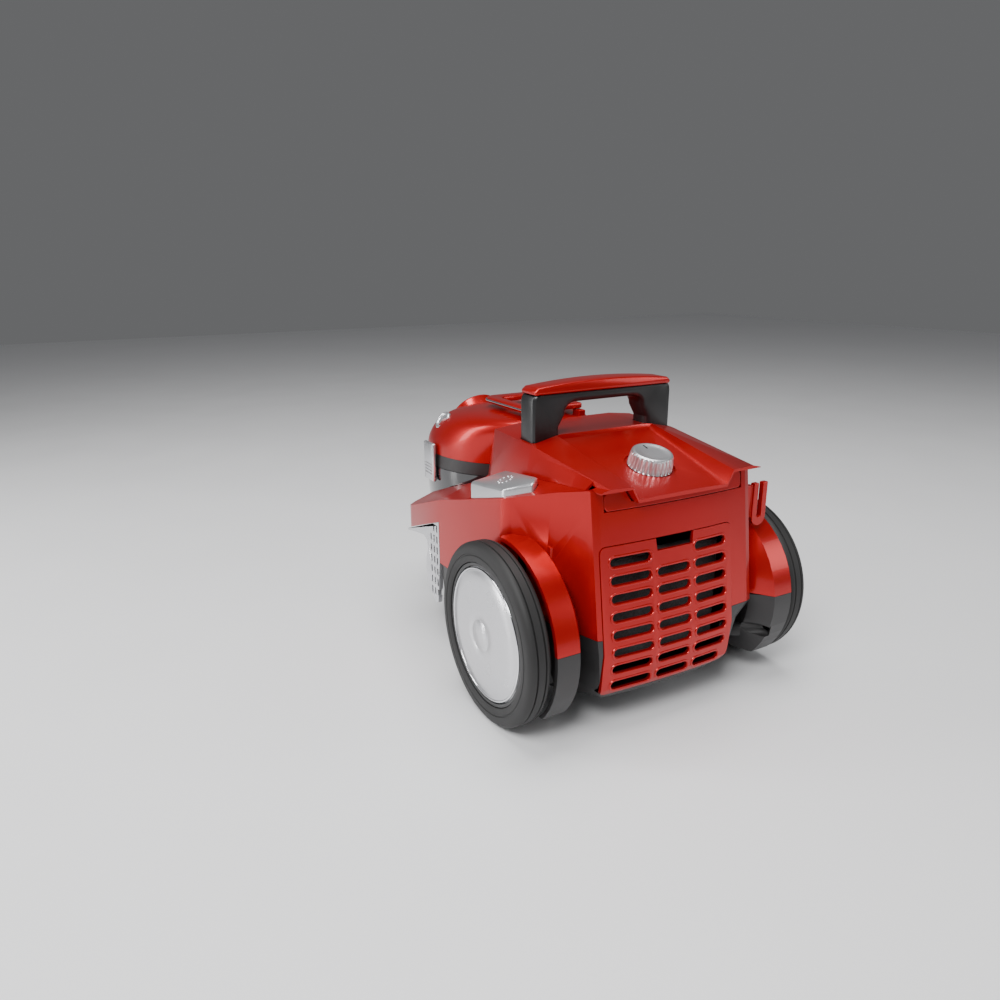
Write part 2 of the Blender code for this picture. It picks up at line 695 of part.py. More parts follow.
def make_wheel(side):
    word = "left" if side > 0 else "right"
    pivot = (side * (TYRE_OUT_X - TYRE_WIDTH), 0, WHEEL_R)
    out = (side, 0, 0)
    width = TYRE_WIDTH
    r = WHEEL_R
    tyre = [(RIM_R, width - 1.5), (r - 9, width), (r - 4, width - 0.8), (r - 1, width - 3), (r, width - 6),
            (r, 6), (r - 1, 3), (r - 4, 0.8), (r - 9, 0), (RIM_R, 1.5)]
    turned(f"tyre_{word}", tyre, RUBBER, pivot, out, WHEEL_STEPS)
    edge = RIM_R - GAP
    rim = [(edge, width - 2), (HUBCAP_R + 0.6, width - 2), (HUBCAP_R + 0.6, width - 6)]
    rim += [(AXLE_R + GAP, width - 6), (AXLE_R + GAP, 0), (16, 0), (18, 9)]
    rim += [(edge - 6, 9), (edge - 4, 2), (edge, 2)]
    turned(f"rim_{word}", rim[::-1], BLACK, pivot, out, WHEEL_STEPS)
    hub_face = width - 6 + GAP
    cap = [(0, hub_face + 7.6), (16, hub_face + 7.2), (34, hub_face + 6.3), (50, hub_face + 4.9),
           (HUBCAP_R - 1, hub_face + 3.6), (HUBCAP_R, hub_face + 2.6), (HUBCAP_R, hub_face), (0, hub_face)]
    turned(f"hubcap_{word}", cap, SILVER, pivot, out, WHEEL_STEPS)
    axle_steps = [(0, AXLE_R), (TYRE_OUT_X - 6 - 84 - GAP, AXLE_R)]
    part(f"axle_{word}", cone_stack((side * 84, 0, WHEEL_R), out, axle_steps, 24), STEEL, pivot)


def make_caster():
    axle = (0, CASTER_Y + CASTER_TRAIL, CASTER_R)
    r = CASTER_R
    wheel = [(3.4, 5), (r - 2.5, 5), (r - 0.5, 3.5), (r, 0), (r - 0.5, -3.5), (r - 2.5, -5), (3.4, -5)]
    turned("caster_wheel", wheel, RUBBER, axle, (1, 0, 0), 24)
    part("caster_axle", rod((-10.4, *axle[1:]), (10.4, *axle[1:]), 3.0, 20), STEEL, axle)
    fork = part("caster_fork", rod((0, CASTER_Y, 26), (0, CASTER_Y, 29.6), 14, 32), DARK, (0, CASTER_Y, 28))
    for side in (1, -1):
        cheek = [(CASTER_Y - 8, 26.5), (CASTER_Y + 1, 9)] + arc(axle[1:], 6.5, 230, 400, 8)
        cheek.append((CASTER_Y + 12, 26.5))
        join(fork, cutter(f"caster cheek {side}", prism(cheek, "x", side * 6.2, side * 9.8)))
    join(fork, cutter("caster stem", rod((0, CASTER_Y, 28), (0, CASTER_Y, 37.6), 6.0, 24)))
    cut(fork, cutter("caster pin hole", rod((-20, *axle[1:]), (20, *axle[1:]), 3.0 + GAP, 20)))


# ---- inside the motor body -----------------------------------------------------------------------

def make_internals():
    reel = [(40, 52), (40, 30), (74, 30), (74, 27), (6.4, 27), (6.4, 55), (74, 55), (74, 52)]
    turned("cord_reel", reel, DARK, (0, -38, 0), (0, 0, 1), 36)
    part("reel_spindle", cone_stack((0, -38, 23.4), (0, 0, 1), [(0, 6), (34, 6)], 24), STEEL, (0, -38, 23.4))
    steps = [(0, 34), (4, 46), (34, 46), (35, 38), (96, 38), (100, 30)]
    housing = part("motor_housing", cone_stack((0, -104, 125), (0, 1, 0), steps, 32), GREY, (0, -104, 125))
    hollow = [(0, 24), (12, 42), (37, 42), (38, 35), (98, 35)]
    cut(housing, cutter("motor hollow", cone_stack((0, -110, 125), (0, 1, 0), hollow, 32)))
    cut(housing, cutter("motor rear bore", rod((0, -20, 125), (0, 20, 125), 7, 24)))
    part("motor_shaft", rod((0, -98, 125), (0, 8, 125), 4, 20), STEEL, (0, -98, 125))
    fan = [(4.35, 9), (8, 9), (30, 3), (38, 2), (38, 0), (4.35, 0)]
    turned("motor_fan", fan, SILVER, (0, -88, 125), (0, 1, 0), 28)
    turned("motor_rotor", [(26, 30), (26, 0), (4.35, 0), (4.35, 30)], COPPER, (0, -60, 125), (0, 1, 0), 28)
    mount = [(45.6, 10), (45.6, 0), (38.4, 0), (38.4, 10)]
    turned("motor_mount", mount, RUBBER, (0, -22, 125), (0, 1, 0), 28)
    frame = part("pre_motor_filter", box((-52, -127, 96), (52, -112, 160)), FOAM, (0, -120, 128))
    soften(frame, 3, 1)
    part("exhaust_filter", box((-50, 48, 60), (69, 60, 148)), FOAM, (10, 54, 104))


def make_small_parts():
    gland = cone_stack((-76, 51.2, 52), (-50, 35, 0), [(0, 6.1), (14, 6.1)], 24)
    part("cord_gland", gland, RUBBER, (-80, 54, 52))
    part("docking_catch", box((-12, -137, 168), (12, -120, 176)), BLACK, (0, -128, 172))


# ---- dust container ------------------------------------------------------------------------------

def oval(z, radius_x, front, rear, count=36):
    """A rounded plan that reaches from front to rear, radius_x to each side."""
    middle = (front + rear) / 2
    reach = (rear - front) / 2
    points = []
    for i in range(count):
        angle = 2 * pi * i / count
        points.append((radius_x * cos(angle), middle + reach * sin(angle), z))
    return points


CUP_LEVELS = (
    # height, half width, front, rear
    (CUP_BOTTOM_Z, 50.0, -285.0, -168.0),
    (46.0, 60.0, -296.0, -157.0),
    (70.0, 72.0, -309.0, -146.0),
    (110.0, 81.0, -318.0, -139.0),
    (150.0, 85.0, -321.0, -137.2),
    (CUP_TOP_Z, 85.0, -320.0, -137.2),
)


def make_container_shell():
    outer = loft([oval(*level) for level in CUP_LEVELS])
    shell = part("container_shell", outer, SMOKED, (0, BAY_Y, CUP_BOTTOM_Z))
    inner = [oval(z + (3 if i == 0 else 0), x - 2.5, front + 2.5, rear - 2.5)
             for i, (z, x, front, rear) in enumerate(CUP_LEVELS)]
    inner.append([(x, y, z + 20) for x, y, z in inner[-1]])
    cut(shell, cutter("cup hollow", loft(inner)))
    notch = [(-54, 175), (-50, 140)] + arc((0, 132), 46, 190, 350, 14) + [(50, 140), (54, 175)]
    cut(shell, cutter("cup front opening", prism(notch, "y", -340, -262)))
    cut(shell, cutter("cup outlet", rod((0, -150, 128), (0, -130, 128), 24, 32)))
    return shell


def make_cyclone():
    """The drum inside the cup: a fine cone below, a wide skirt and the ringed filter above it."""
    steps = [(0, 30), (40, 40), (41, 62), (46, 64), (51, 62), (52, 57), (61, 57), (62, 54), (120, 58)]
    cyclone = part("cyclone", cone_stack((0, CYCLONE_Y, 44), (0, 0, 1), steps, 40), GREY, (0, CYCLONE_Y, 44))
    hollow = [(0, 26), (38, 36), (60, 50), (130, 53)]
    cut(cyclone, cutter("cyclone hollow", cone_stack((0, CYCLONE_Y, 48), (0, 0, 1), hollow, 40)))


LID_LEVELS = (
    # height, half width, front, rear
    (LID_FRAME_TOP_Z + GAP, 84.5, -319.0, -133.0),
    (192.0, 84.0, -317.0, -127.0),
    (206.0, 80.0, -306.0, -119.0),
    (218.0, 72.0, -284.0, -113.0),
    (226.0, 58.0, -252.0, -114.0),
    (230.0, 36.0, -215.0, -124.0),
)


def make_lid():
    axis = Vector((0, -cos(INLET_TILT), sin(INLET_TILT)))
    mouth = Vector((0, INLET_Y, INLET_Z))
    frame_rings = [oval(CUP_TOP_Z + GAP, 85, -320, -137.2), oval(LID_FRAME_TOP_Z, 84, -318, -133.5)]
    frame = part("lid_frame", loft(frame_rings), DARK, (0, BAY_Y, CUP_TOP_Z))
    cut(frame, cutter("lid frame bore", rod((0, CYCLONE_Y, 150), (0, CYCLONE_Y, 190), 50, 56)))
    cut(frame, cutter("inlet passage", rod(mouth - axis * 50, mouth + axis * 40, 21, 40)))
    cut(frame, cutter("catch notch", box((-14.5, -142, 167), (14.5, -118, 177.8))))

    rings = [oval(*level) for level in LID_LEVELS]
    lid = part("container_lid", loft(rings), RED, (0, BAY_Y, LID_FRAME_TOP_Z))
    flare = cutter("inlet flare", cone_stack(mouth - axis * 26, axis, FLARE_STEPS, 48))
    keep(flare, cutter("above the frame", box((-60, -380, LID_FRAME_TOP_Z + GAP), (60, -150, 260))))
    join(lid, flare)
    under = [[(x * 0.965, (y - BAY_Y) * 0.965 + BAY_Y, z - 3.2) for x, y, z in ring] for ring in rings]
    under[0] = [(x, y, z - 8) for x, y, z in under[0]]
    hollow = cutter("lid hollow", loft(under))
    cut(hollow, cutter("inlet wall", rod(mouth - axis * 60, mouth + axis * 40, 21.5, 40)))
    cut(lid, hollow)
    bore = [(0, INLET_R + 2), (77, INLET_R + 2), (84, 26), (112, 26)]
    cut(lid, cutter("inlet bore", cone_stack(mouth - axis * 70, axis, bore, 40)))
    for side in (1, -1):
        ear = box((side * 30 - 4, -130, 222), (side * 30 + 4, -118, 234))
        join(lid, cutter(f"handle ear {side}", ear))

    lining = cone_stack(mouth - axis * 2, axis, [(0, INLET_R + 1.6), (8.5, INLET_R + 1.6)], 40)
    collar = part("inlet_collar", lining, BLACK, tuple(mouth))
    cut(collar, cutter("collar bore", rod(mouth - axis * 40, mouth + axis * 60, INLET_R - 0.6, 40)))


def make_lid_latch(word, side):
    """A hook over the cup's rim, hung on the lid's side."""
    low_x, high_x = sorted((side * 86.2, side * 90.5))
    hook = box((low_x, -246, 150), (high_x, -222, 192))
    latch = part(f"lid_latch_{word}", hook, SILVER, (side * 88, -234, 190))
    soften(latch, 1.5, 2)


def make_lid_handle():
    """A bail that lies on the lid, with a finger opening, hinged at its rear end."""
    outline = [(-34, -124), (-34, -196)] + arc((-20, -200), 14, 180, 270, 4)
    outline += arc((20, -200), 14, 270, 360, 4) + [(34, -196), (34, -124)]
    handle = part("container_handle", prism(outline, "z", 234.6, 240.6), RED, (0, -126, 237.6))
    finger = [(-22, -138), (-22, -188)] + arc((-14, -190), 8, 180, 270, 3)
    finger += arc((14, -190), 8, 270, 360, 3) + [(22, -188), (22, -138)]
    cut(handle, cutter("finger opening", prism(finger, "z", 220, 250)))
    soften(handle, 1.6, 2)


def make_container():
    make_container_shell()
    make_cyclone()
    make_lid()
    for word, side in (("left", 1), ("right", -1)):
        make_lid_latch(word, side)
    make_lid_handle()


def main():
    make_upper_shell()
    make_rear_trim_panel()
    make_base()
    make_exhaust_grille()
    make_top_cover()
    make_handle()
    make_knob()
    make_pedal("power_pedal", 1)
    make_pedal("rewind_pedal", -1)
    make_side_trim("side_trim_left", 1)
    make_side_trim("side_trim_right", -1)
    make_parking_clip()
    for side in (1, -1):
        make_wheel(side)
    make_caster()
    make_internals()
    make_small_parts()
    make_container()


clear_scene()
PARTS = collection("canister_vacuum")
CUTTERS = collection("cutters")
main()
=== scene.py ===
"""The looks of the canister vacuum cleaner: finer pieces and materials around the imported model."""
import json
from math import cos, pi, radians, sin

import bmesh
import bpy
from mathutils import Matrix, Vector
from mathutils.bvhtree import BVHTree


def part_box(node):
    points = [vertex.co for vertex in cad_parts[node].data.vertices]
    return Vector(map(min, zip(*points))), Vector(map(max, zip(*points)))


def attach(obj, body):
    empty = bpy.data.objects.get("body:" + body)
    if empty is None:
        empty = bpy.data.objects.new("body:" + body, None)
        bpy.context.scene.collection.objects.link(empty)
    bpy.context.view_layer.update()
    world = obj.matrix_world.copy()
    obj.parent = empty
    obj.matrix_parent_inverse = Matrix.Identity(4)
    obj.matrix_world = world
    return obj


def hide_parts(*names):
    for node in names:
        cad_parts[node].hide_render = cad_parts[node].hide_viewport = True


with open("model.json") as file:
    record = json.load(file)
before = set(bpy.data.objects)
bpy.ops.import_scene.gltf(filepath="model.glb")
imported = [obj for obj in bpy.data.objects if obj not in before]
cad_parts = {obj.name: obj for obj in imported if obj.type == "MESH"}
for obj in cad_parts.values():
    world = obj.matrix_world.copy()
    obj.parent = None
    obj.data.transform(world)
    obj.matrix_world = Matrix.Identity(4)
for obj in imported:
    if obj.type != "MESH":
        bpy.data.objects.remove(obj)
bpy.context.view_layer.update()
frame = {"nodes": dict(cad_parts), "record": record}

MM = 0.001
NODES = frame["nodes"]
RECORD = frame["record"]
BODY_OF = {node: body for body, nodes in RECORD["behaviour"]["bodies"].items() for node in nodes}
SLOT_OF = {entry["node"]: entry["material_slot"] for entry in RECORD["subparts"]}


def middle(node):
    low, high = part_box(node)
    return (Vector(low) + Vector(high)) / 2


AXLE = middle("tyre_left")           # its y and z are the wheel axle's
AXLE_Y = AXLE.y
AXLE_Z = AXLE.z


def place(x, y, z):
    """A point given in millimetres, with y measured from the wheel axle."""
    return Vector((x * MM, y * MM + AXLE_Y, z * MM))


# ---- materials -----------------------------------------------------------------------------------

def surface(name, colour, roughness, metallic=0.0, coat=0.0, coat_roughness=0.05, spread=0.12,
            mottle=9.0, grain=900.0, depth=0.05, rough_spread=0.08, flake=0.0, sheen=0.0):
    """Moulded or painted plastic: cloudy colour, uneven gloss and a fine moulded grain."""
    made = bpy.data.materials.new(name)
    made.use_nodes = True
    nodes, links = made.node_tree.nodes, made.node_tree.links
    shader = nodes["Principled BSDF"]
    shader.inputs["Metallic"].default_value = metallic
    shader.inputs["Coat Weight"].default_value = coat
    shader.inputs["Coat Roughness"].default_value = coat_roughness
    shader.inputs["Sheen Weight"].default_value = sheen
    spot = nodes.new("ShaderNodeTexCoord")

    def noise(scale, detail):
        texture = nodes.new("ShaderNodeTexNoise")
        texture.inputs["Scale"].default_value = scale
        texture.inputs["Detail"].default_value = detail
        links.new(spot.outputs["Object"], texture.inputs["Vector"])
        return texture

    clouds = noise(mottle, 4)
    ramp = nodes.new("ShaderNodeValToRGB")
    ramp.color_ramp.elements[0].position = 0.35
    ramp.color_ramp.elements[1].position = 0.65
    ramp.color_ramp.elements[0].color = (*[c * (1 - spread) for c in colour], 1)
    ramp.color_ramp.elements[1].color = (*[min(c * (1 + spread), 1) for c in colour], 1)
    links.new(clouds.outputs["Fac"], ramp.inputs["Fac"])
    tone = ramp.outputs["Color"]
    if flake:
        cells = nodes.new("ShaderNodeTexVoronoi")
        cells.inputs["Scale"].default_value = 2600
        links.new(spot.outputs["Object"], cells.inputs["Vector"])
        glint = nodes.new("ShaderNodeMix")
        glint.data_type = "RGBA"
        glint.blend_type = "OVERLAY"
        glint.inputs["Factor"].default_value = flake
        links.new(tone, glint.inputs["A"])
        grey = nodes.new("ShaderNodeHueSaturation")
        grey.inputs["Saturation"].default_value = 0.0
        links.new(cells.outputs["Color"], grey.inputs["Color"])
        links.new(grey.outputs["Color"], glint.inputs["B"])
        tone = glint.outputs["Result"]
    links.new(tone, shader.inputs["Base Color"])

    smears = noise(mottle * 4, 6)
    gloss = nodes.new("ShaderNodeMapRange")
    gloss.inputs["To Min"].default_value = max(roughness - rough_spread, 0.02)
    gloss.inputs["To Max"].default_value = min(roughness + rough_spread, 1)
    links.new(smears.outputs["Fac"], gloss.inputs["Value"])
    links.new(gloss.outputs["Result"], shader.inputs["Roughness"])

    pores = noise(grain, 3)
    bump = nodes.new("ShaderNodeBump")
    bump.inputs["Strength"].default_value = depth
    bump.inputs["Distance"].default_value = 0.0004
    links.new(pores.outputs["Fac"], bump.inputs["Height"])
    links.new(bump.outputs["Normal"], shader.inputs["Normal"])
    return made


def foam_material():
    """Open-cell foam: pores darkened with painted shade, between paler walls."""
    made = surface("foam", (0.022, 0.022, 0.024), 0.95, depth=0.2, sheen=0.3)
    nodes, links = made.node_tree.nodes, made.node_tree.links
    spot = nodes.new("ShaderNodeTexCoord")
    cells = nodes.new("ShaderNodeTexVoronoi")
    cells.inputs["Scale"].default_value = 520
    links.new(spot.outputs["Object"], cells.inputs["Vector"])
    # painted shade: the ramp darkens the middle of each cell, where the pores lie in shade
    ramp = nodes.new("ShaderNodeValToRGB")
    ramp.color_ramp.elements[0].color = (0.004, 0.004, 0.005, 1)
    ramp.color_ramp.elements[1].color = (0.045, 0.045, 0.048, 1)
    links.new(cells.outputs["Distance"], ramp.inputs["Fac"])
    links.new(ramp.outputs["Color"], nodes["Principled BSDF"].inputs["Base Color"])
    return made


def winding_material():
    """Copper wire laid side by side round the rotor."""
    made = surface("winding", (0.60, 0.27, 0.11), 0.30, metallic=1.0)
    nodes, links = made.node_tree.nodes, made.node_tree.links
    spot = nodes.new("ShaderNodeTexCoord")
    wires = nodes.new("ShaderNodeTexWave")
    wires.bands_direction = "Y"
    wires.inputs["Scale"].default_value = 320
    links.new(spot.outputs["Object"], wires.inputs["Vector"])
    bump = nodes.new("ShaderNodeBump")
    bump.inputs["Strength"].default_value = 0.7
    bump.inputs["Distance"].default_value = 0.0005
    links.new(wires.outputs["Fac"], bump.inputs["Height"])
    links.new(bump.outputs["Normal"], nodes["Principled BSDF"].inputs["Normal"])
    return made


LOOKS = {
    "red_shell": surface("red shell", (0.40, 0.0025, 0.0025), 0.30, metallic=0.55, coat=0.2, spread=0.05,
                         depth=0.005, flake=0.03, rough_spread=0.02),
    "dark_plastic": surface("dark plastic", (0.017, 0.016, 0.0165), 0.44, depth=0.12, spread=0.15),
    "black_plastic": surface("black plastic", (0.006, 0.006, 0.0065), 0.36, depth=0.08, spread=0.2),
    "tyre_rubber": surface("tyre rubber", (0.011, 0.0105, 0.0105), 0.62, depth=0.18, grain=600, spread=0.25),
    "silver_plastic": surface("silver paint", (0.62, 0.62, 0.64), 0.30, metallic=0.85, coat=0.2, flake=0.14,
                              spread=0.05, depth=0.04),
    "steel": surface("steel", (0.52, 0.52, 0.54), 0.26, metallic=1.0, grain=1500, depth=0.1),
    "smoked": surface("smoked plastic", (0.010, 0.010, 0.012), 0.07, coat=1.0, coat_roughness=0.02,
                      depth=0.008, rough_spread=0.04, spread=0.3),
    "grey_plastic": surface("grey plastic", (0.085, 0.085, 0.090), 0.40, depth=0.10),
    "foam": foam_material(),
    "copper": winding_material(),
}
CHROME = surface("bright trim", (0.80, 0.80, 0.82), 0.10, metallic=1.0, depth=0.01, rough_spread=0.04)


# ---- building pieces -----------------------------------------------------------------------------

def piece(name, bm, node, slot=None, replaces=True, look=None, smooth=34):
    """A finished piece that rides with a node's body and takes its slot's material."""
    bmesh.ops.recalc_face_normals(bm, faces=bm.faces)
    mesh = bpy.data.meshes.new(name)
    bm.to_mesh(mesh)
    bm.free()
    mesh.shade_smooth()
    mesh.set_sharp_from_angle(angle=radians(smooth))
    obj = bpy.data.objects.new(name, mesh)
    bpy.context.scene.collection.objects.link(obj)
    slot = slot or SLOT_OF[node]
    mesh.materials.append(look or LOOKS[slot])
    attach(obj, BODY_OF[node])
    if replaces:
        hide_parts(node)
    return obj


def round_edges(obj, width, segments=3, angle=30):
    modifier = obj.modifiers.new("rounded edges", "BEVEL")
    modifier.width = width * MM
    modifier.segments = segments
    modifier.limit_method = "ANGLE"
    modifier.angle_limit = radians(angle)
    modifier.harden_normals = True
    modifier.miter_outer = "MITER_ARC"


def refined(node, width, segments=3, angle=30):
    """The node's own shape with its flat facets merged and its edges rounded."""
    bm = bmesh.new()
    bm.from_mesh(NODES[node].data)
    bmesh.ops.remove_doubles(bm, verts=bm.verts, dist=2e-6)
    bmesh.ops.dissolve_limit(bm, angle_limit=radians(1.0), verts=bm.verts, edges=bm.edges)
    obj = piece(f"{node}_finish", bm, node)
    round_edges(obj, width, segments, angle)
    return obj


def lathe(bm, profile, centre, direction, steps=128):
    """Sweeps a closed profile of (radius, distance along direction), in millimetres, round an axis."""
    turn = Vector(direction).to_track_quat("Z", "Y").to_matrix()
    rows = []
    for radius, height in profile:
        if radius < 1e-6:
            rows.append([bm.verts.new(centre + turn @ Vector((0, 0, height * MM)))])
            continue
        ring = []
        for i in range(steps):
            angle = 2 * pi * i / steps
            spot = Vector((radius * cos(angle), radius * sin(angle), height))
            ring.append(bm.verts.new(centre + turn @ spot * MM))
        rows.append(ring)
    pairs = list(zip(rows, rows[1:]))
    if len(rows[0]) > 1 and len(rows[-1]) > 1:
        pairs.append((rows[-1], rows[0]))
    for row, following in pairs:
        for i in range(steps):
            j = (i + 1) % steps
            corners = [row[i % len(row)], row[j % len(row)]]
            corners += [following[j % len(following)], following[i % len(following)]]
            face = list(dict.fromkeys(corners))
            if len(face) > 2:
                bm.faces.new(face)
    return bm


def wire(bm, points, radius, sides=8, closed=True, flatten=1.0, out=Vector((0, 1, 0))):
    """A bead along points in metres; flatten squeezes it along out."""
    count = len(points)
    rings = []
    for i, point in enumerate(points):
        before = points[i - 1] if closed or i else points[i]
        after = points[(i + 1) % count] if closed or i < count - 1 else points[i]
        along = (after - before).normalized()
        across = along.cross(out).normalized()
        lift = across.cross(along).normalized()
        ring = []
        for k in range(sides):
            angle = 2 * pi * k / sides
            offset = across * cos(angle) + lift * sin(angle) * flatten
            ring.append(bm.verts.new(point + offset * radius * MM))
        rings.append(ring)
    for i in range(count if closed else count - 1):
        row, following = rings[i], rings[(i + 1) % count]
        for k in range(sides):
            j = (k + 1) % sides
            bm.faces.new((row[k], row[j], following[j], following[k]))
    if not closed:
        bm.faces.new(rings[0])
        bm.faces.new(rings[-1])


def touching(node):
    """A tree of the node's faces, to find where a line meets it."""
    bm = bmesh.new()
    bm.from_mesh(NODES[node].data)
    tree = BVHTree.FromBMesh(bm)
    bm.free()
    return tree


def on_surface(tree, start, direction):
    """Where a line from start first meets the node's surface."""
    hit, _, _, _ = tree.ray_cast(Vector(start), Vector(direction))
    return hit


def arc(centre, radius, start, end, count):
    """Points on an arc, angles in degrees, both ends included."""
    steps = [radians(start + (end - start) * i / count) for i in range(count + 1)]
    return [(centre[0] + radius * cos(a), centre[1] + radius * sin(a)) for a in steps]


def stadium(low, high, height, radius, count=10):
    """A slot's outline: two half circles, at low and high."""
    right = arc((high - radius, height), radius, -90, 90, count)
    return right + arc((low + radius, height), radius, 90, 270, count)


# ---- camera, light and floor ---------------------------------------------------------------------

CAMERA_AT = (424, 525, 377)          # millimetres, y from the wheel axle
AZIMUTH = radians(150.9)
ELEVATION = radians(16.9)
ROLL = radians(-0.3)
LENS = 28.1


def make_camera():
    back = Vector((sin(AZIMUTH) * cos(ELEVATION), -cos(AZIMUTH) * cos(ELEVATION), sin(ELEVATION)))
    right = Vector((0, 0, 1)).cross(back).normalized()
    up = back.cross(right)
    turn = Matrix((right, up, back)).transposed() @ Matrix.Rotation(ROLL, 3, "Z")
    data = bpy.data.cameras.new("camera")
    data.lens = LENS
    data.sensor_width = 36
    camera = bpy.data.objects.new("camera", data)
    camera.matrix_world = Matrix.Translation(place(*CAMERA_AT)) @ turn.to_4x4()
    bpy.context.scene.collection.objects.link(camera)
    bpy.context.scene.camera = camera


def area_light(name, position, target, size, power, colour=(1, 1, 1)):
    data = bpy.data.lights.new(name, "AREA")
    data.shape = "RECTANGLE"
    data.size, data.size_y = size
    data.energy = power
    data.color = colour
    light = bpy.data.objects.new(name, data)
    light.location = position
    light.rotation_euler = (Vector(position) - Vector(target)).to_track_quat("Z", "Y").to_euler()
    bpy.context.scene.collection.objects.link(light)


def make_studio():
    world = bpy.data.worlds.new("studio")
    bpy.context.scene.world = world
    world.use_nodes = True
    world.node_tree.nodes["Background"].inputs["Color"].default_value = (0.80, 0.81, 0.83, 1)
    world.node_tree.nodes["Background"].inputs["Strength"].default_value = 0.17
    area_light("key", (1.1, 0.9, 1.5), (0, 0.05, 0.12), (0.9, 0.6), 38)
    area_light("top", (0.0, 0.0, 1.7), (0, 0, 0), (1.3, 0.8), 24)
    area_light("side strip", (1.3, -0.6, 0.6), (0, 0, 0.12), (0.25, 1.2), 12)
    area_light("rear fill", (-1.3, 1.2, 0.8), (0, 0.1, 0.12), (0.8, 0.8), 8)
    bm = bmesh.new()
    bmesh.ops.create_grid(bm, x_segments=24, y_segments=24, size=4.0)
    mesh = bpy.data.meshes.new("floor")
    bm.to_mesh(mesh)
    bm.free()
    floor = bpy.data.objects.new("floor", mesh)
    floor.location.z = -0.0004
    bpy.context.scene.collection.objects.link(floor)
    mesh.materials.append(surface("pale floor", (0.82, 0.82, 0.83), 0.42, spread=0.01, depth=0.01, mottle=2))


# ---- motor body ----------------------------------------------------------------------------------

def make_body():
    refined("upper_shell", 1.1)
    refined("top_cover", 1.4)
    refined("rear_trim_panel", 0.8)
    refined("base", 1.2, 2)
    refined("handle_strip", 0.8)
    refined("handle_grip", 0.8)
    refined("parking_clip", 0.9)
    refined("docking_catch", 0.8)
    for word in ("left", "right"):
        refined(f"side_trim_{word}", 0.5, 2)


PANEL_TOP_Y = -37.5                  # where the control panel's step ends
LIP_Y = 70.0                         # and where the cover's lip ends
RIDGE = ((79.0, 225.5), (75.0, 212.0))       # x and z of the cover's outer ridge at those two places
FLANK = ((83.9, 199.5), (83.9, 209.8))       # and of the edge below it
FLANK_SPAN = (-36.0, 49.0)           # y of the skin's two ends
FLANK_STEPS = 24
FLANK_INSET = 0.4                    # how far the skin lies inside the cover's surface
FLANK_SKIN = 1.5
FLANK_FOOT_Z = 190.0


def between(ends, t):
    """The point a fraction t of the way between two points."""
    return [a + (b - a) * t for a, b in zip(*ends)]


def make_cover_flanks():
    """A fair, evenly twisted skin along each lower flank of the top cover, which closes its foot."""
    front_y, rear_y = FLANK_SPAN
    for word, side in (("left", 1), ("right", -1)):
        rings = []
        for i in range(FLANK_STEPS + 1):
            y = front_y + (rear_y - front_y) * i / FLANK_STEPS
            t = (y - PANEL_TOP_Y) / (LIP_Y - PANEL_TOP_Y)
            ridge_x, ridge_z = [value - FLANK_INSET for value in between(RIDGE, t)]
            flank_x, flank_z = between(FLANK, t)
            flank_x -= FLANK_INSET
            outline = [(ridge_x, ridge_z), (flank_x, flank_z), (flank_x, FLANK_FOOT_Z)]
            outline += [(flank_x - FLANK_SKIN, FLANK_FOOT_Z), (flank_x - FLANK_SKIN, flank_z - 1)]
            outline.append((ridge_x - FLANK_SKIN, ridge_z - FLANK_SKIN))
            rings.append([place(side * x, y, z) for x, z in outline])
        piece(f"cover_flank_{word}", skin(rings), "top_cover", replaces=False)


SLOT_PITCH = 15.0
SLOT_H = 7.6
SLOT_COLUMNS = ((-50.5, -15.5), (-9.5, 24.5), (30.5, 70.0))
SLOT_ROWS = 8
SLOT_TOP_Z = 150.0
BEAD_OFFSET = 1.1                    # from the slot's edge to the middle of its bead
BEAD_R = 1.0


def make_grille():
    """The slotted door, with a raised bead round each slot."""
    refined("exhaust_grille", 0.9, 3)
    tree = touching("exhaust_grille")
    bm = bmesh.new()
    for row in range(SLOT_ROWS):
        z = SLOT_TOP_Z - row * SLOT_PITCH
        for column, (low, high) in enumerate(SLOT_COLUMNS):
            if row == 0 and column == 1:
                continue
            if row == SLOT_ROWS - 1 and column == 0:
                low += 5
            points = []
            outline = stadium(low - BEAD_OFFSET, high + BEAD_OFFSET, z, SLOT_H / 2 + BEAD_OFFSET)
            for x, height in outline:
                hit = on_surface(tree, place(x, 140, height), (0, -1, 0))
                if hit is not None:
                    points.append(hit)
            if len(points) > 8:
                wire(bm, points, BEAD_R, flatten=0.7)
    piece("slot_beads", bm, "exhaust_grille", replaces=False)


def make_handle_details():
    """A narrow bright line between the grip and the strip on top of it."""
    low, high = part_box("handle_grip")
    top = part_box("handle_strip")[0][2]
    bm = bmesh.new()
    for y in (low[1] - 0.0001, high[1] + 0.0001):
        points = [Vector((x, y, top - 0.0002)) for x in (low[0] + 0.006, 0, high[0] - 0.006)]
        wire(bm, points, 0.35, 6, closed=False, out=Vector((0, 0, 1)))
    piece("handle_seam", bm, "handle_strip", "black_plastic", replaces=False)


